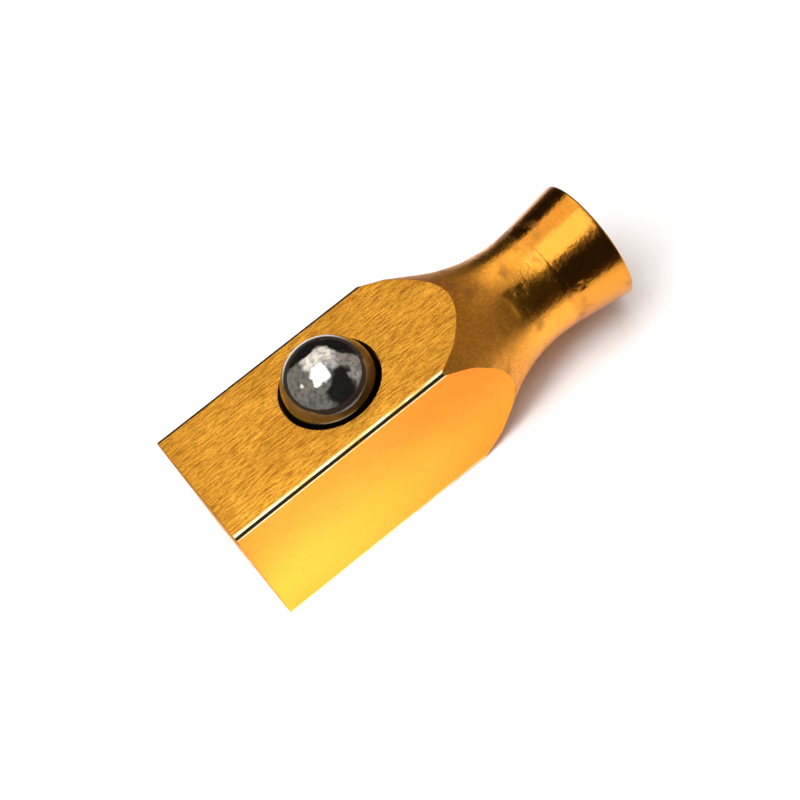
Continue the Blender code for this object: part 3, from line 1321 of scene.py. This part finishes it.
@dataclass
class Studio:
    """The floor, the light and the camera.

    Attributes:
        room: Colour of the walls.
        background: What the camera sees past the floor.
        azimuth: Where the camera stands round the object, in degrees.
        elevation: How high it stands, in degrees.
        roll: How far it is turned about its own axis, in degrees.
        distance: How far it stands from what it aims at.
        aim: What it aims at.
        lens: Its focal length, in millimetres.
        sensor: Its sensor's width, in millimetres.
        patches: Light and dark parts of the walls, later ones over earlier ones.
        boxes: The soft boxes, laid over the walls.
        unevenness: How far the edges in the walls wander.
        uneven_scale: How many times the walls' edges wander.
        clutter: Colour of the clutter that mottles the walls.
        clutter_scale: How fine the clutter is.
        floor_colour: Colour of the floor.
        floor_far: Colour that the metal sees in the floor's far part.
        floor_reach: Distances between which the near part turns into the far part.
        floor_radius: Radius of the floor.
        lamps: The lights that the metal doesn't reflect.
    """

    room: Colour = (0.30, 0.285, 0.26)
    background: Colour = (0.95, 0.95, 0.95)
    azimuth: float = -11.47
    elevation: float = 52.13
    roll: float = -29.35
    distance: float = 117.75 * MM
    aim: Point = (-1.21 * MM, -0.63 * MM, 4.76 * MM)
    lens: float = 86.6
    sensor: float = 36.0
    unevenness: float = 0.5
    uneven_scale: float = 2.6
    clutter: Colour = (0.04, 0.036, 0.032)
    clutter_scale: float = 7.0
    floor_colour: Colour = (0.86, 0.855, 0.87)
    floor_far: Colour = (0.07, 0.05, 0.036)
    floor_reach: tuple[float, float] = (18 * MM, 46 * MM)
    floor_radius: float = 1.2
    lamps: tuple[Lamp, ...] = (
        Lamp("key", (-0.141, 0.02, 0.32), 0.3, 0.65),
        Lamp("fill", (0.02, -0.12, 0.42), 0.7, 0.95),
        Lamp("glow", (-0.013, -0.0105, 0.012), 0.007, 0.0035),
    )
    patches: tuple[Patch, ...] = (
        Patch(-130, 40, 34, 24, (0.36, 0.32, 0.27)),
        Patch(108, 48, 30, 14, (0.8, 0.77, 0.73)),
        Patch(82, 26, 24, 14, (0.42, 0.37, 0.31)),
        Patch(169, 54, 28, 14, (1.5, 1.38, 1.22)),
        Patch(8, 20, 34, 12, (0.02, 0.018, 0.018)),
        Patch(34, 38, 27, 12, (0.02, 0.018, 0.018)),
        Patch(60, 15, 15, 10, (0.5, 0.46, 0.41)),
        Patch(128, 12, 26, 9, (0.015, 0.012, 0.012)),
        Patch(176, 10, 26, 9, (0.015, 0.012, 0.012)),
    )
    boxes: tuple[Patch, ...] = (
        Patch(-70, 80, 22, 6, (1.9, 1.9, 1.9)),
        Patch(-62, 64, 12, 5, (1.9, 1.9, 1.9)),
        Patch(-103, 35, 3, 3, (1.6, 1.55, 1.45)),
    )

    def uneven(self, bench: NodeBench, place: bpy.types.NodeSocket) -> bpy.types.NodeSocket:
        """Shifts a direction a little, so that the edges in the walls aren't perfect circles.

        Args:
            bench: The world's tree.
            place: The direction.

        Returns:
            The shifted direction's socket.
        """
        noise = bench.add("ShaderNodeTexNoise")
        bench.link(place, noise.inputs["Vector"])
        noise.inputs["Scale"].default_value = self.uneven_scale
        noise.inputs["Detail"].default_value = 4.0
        centred = bench.add("ShaderNodeVectorMath", operation="SUBTRACT")
        bench.link(noise.outputs["Color"], centred.inputs[0])
        centred.inputs[1].default_value = (0.5, 0.5, 0.5)
        scaled = bench.add("ShaderNodeVectorMath", operation="SCALE")
        bench.link(centred.outputs[0], scaled.inputs[0])
        scaled.inputs["Scale"].default_value = self.unevenness
        moved = bench.add("ShaderNodeVectorMath", operation="ADD")
        bench.link(place, moved.inputs[0])
        bench.link(scaled.outputs[0], moved.inputs[1])
        unit = bench.add("ShaderNodeVectorMath", operation="NORMALIZE")
        bench.link(moved.outputs[0], unit.inputs[0])
        return unit.outputs[0]

    def paint(
        self, bench: NodeBench, place: bpy.types.NodeSocket, colour: object, patches: Sequence[Patch]
    ) -> object:
        """Lays patches over a colour.

        Args:
            bench: The world's tree.
            place: The direction.
            colour: What the patches are laid over.
            patches: The patches, later ones over earlier ones.

        Returns:
            The painted colour.
        """
        for patch in patches:
            facing = bench.dot(place, direction(patch.azimuth, patch.elevation))
            outer = math.cos(math.radians(patch.half_angle + patch.softness / 2))
            inner = math.cos(math.radians(max(patch.half_angle - patch.softness / 2, 0)))
            colour = bench.mix(bench.ramp(facing, outer, inner), colour, patch.colour)
        return colour

    def light_walls(self) -> None:
        """Paints the world: walls, soft boxes and dark gaps, and a plain backdrop for the camera."""
        world = bpy.data.worlds.new("studio")
        bpy.context.scene.world = world
        world.use_nodes = True
        bench = NodeBench(world.node_tree)
        world.node_tree.nodes.clear()
        place = bench.add("ShaderNodeTexCoord").outputs["Generated"]
        shifted = self.uneven(bench, place)
        colour = self.paint(bench, shifted, self.room, self.patches)
        clutter = bench.add("ShaderNodeTexNoise")
        bench.link(place, clutter.inputs["Vector"])
        clutter.inputs["Scale"].default_value = self.clutter_scale
        clutter.inputs["Detail"].default_value = 5.0
        shade = bench.ramp(clutter.outputs["Fac"], 0.42, 0.64, 0.0, 0.5)
        colour = bench.mix(shade, colour, self.clutter)
        colour = self.paint(bench, shifted, colour, self.boxes)
        walls = bench.add("ShaderNodeBackground")
        bench.feed(walls.inputs["Color"], colour)
        plain = bench.add("ShaderNodeBackground")
        plain.inputs["Color"].default_value = (*self.background, 1)
        seen = bench.add("ShaderNodeLightPath").outputs["Is Camera Ray"]
        chosen = bench.add("ShaderNodeMixShader")
        bench.link(seen, chosen.inputs[0])
        bench.link(walls.outputs[0], chosen.inputs[1])
        bench.link(plain.outputs[0], chosen.inputs[2])
        bench.link(chosen.outputs[0], bench.add("ShaderNodeOutputWorld").inputs["Surface"])

    def lay_floor(self) -> bpy.types.Object:
        """Lays the pale floor, whose far part looks dark in the metal.

        Returns:
            The floor.
        """
        mesh = bpy.data.meshes.new("floor")
        built = bmesh.new()
        bmesh.ops.create_circle(built, cap_ends=True, segments=96, radius=self.floor_radius)
        built.to_mesh(mesh)
        built.free()
        floor = add_object("floor", mesh)
        material = bpy.data.materials.new("pale_floor")
        material.use_nodes = True
        bench = NodeBench(material.node_tree)
        material.node_tree.nodes.clear()
        place = bench.add("ShaderNodeTexCoord").outputs["Object"]
        reach = bench.add("ShaderNodeVectorMath", operation="LENGTH")
        bench.link(place, reach.inputs[0])
        far = bench.ramp(reach.outputs["Value"], *self.floor_reach)
        sheet = bench.add("ShaderNodeBsdfDiffuse")
        sheet.inputs["Color"].default_value = (*self.floor_colour, 1)
        distant = bench.add("ShaderNodeEmission")
        distant.inputs["Color"].default_value = (*self.floor_far, 1)
        seen = bench.add("ShaderNodeLightPath").outputs["Is Glossy Ray"]
        away = bench.maths("MULTIPLY", seen, far)
        chosen = bench.add("ShaderNodeMixShader")
        bench.link(away, chosen.inputs[0])
        bench.link(sheet.outputs[0], chosen.inputs[1])
        bench.link(distant.outputs[0], chosen.inputs[2])
        bench.link(chosen.outputs[0], bench.add("ShaderNodeOutputMaterial").inputs["Surface"])
        mesh.materials.append(material)
        return floor

    def hang_disk(self, lamp: Lamp) -> bpy.types.Object:
        """Hangs a soft disk light that isn't seen in the metal or by the camera.

        Args:
            lamp: Its place, size and strength.

        Returns:
            The light.
        """
        light = bpy.data.lights.new(lamp.name, "AREA")
        light.shape = "DISK"
        light.size = lamp.size
        light.energy = lamp.energy
        disk = add_object(lamp.name, light)
        place = Vector(lamp.place)
        disk.location = place
        disk.rotation_mode = "QUATERNION"
        disk.rotation_quaternion = place.to_track_quat("Z", "Y")
        disk.visible_glossy = False
        disk.visible_camera = False
        return disk

    def place_camera(self) -> bpy.types.Object:
        """Places the camera where its azimuth, elevation, roll and distance say.

        Returns:
            The camera.
        """
        lens = bpy.data.cameras.new("camera")
        lens.sensor_width = self.sensor
        lens.lens = self.lens
        lens.clip_start = 1 * MM
        lens.clip_end = 10.0
        camera = add_object("camera", lens)
        back = direction(self.azimuth, self.elevation)
        level = Vector((0, 0, 1)).cross(back).normalized()
        right = Matrix.Rotation(math.radians(self.roll), 3, back) @ level
        axes = Matrix((right, back.cross(right), back)).transposed()
        camera.matrix_world = Matrix.LocRotScale(Vector(self.aim) + self.distance * back, axes, None)
        bpy.context.scene.camera = camera
        return camera


def main() -> None:
    """Builds the object piece by piece, then the stage around it."""
    logging.basicConfig(level=logging.INFO, format="%(message)s")
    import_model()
    for builder in (Shank(), BallPlunger(), PlungerSpring(), SpringPlug()):
        piece = builder.build()
        LOG.info("%s: %d faces", piece.name, len(piece.data.polygons))
    studio = Studio()
    studio.light_walls()
    studio.lay_floor()
    for lamp in studio.lamps:
        studio.hang_disk(lamp)
    studio.place_camera()
    bpy.context.scene.view_settings.view_transform = "Standard"


if __name__ == "__main__":
    main()
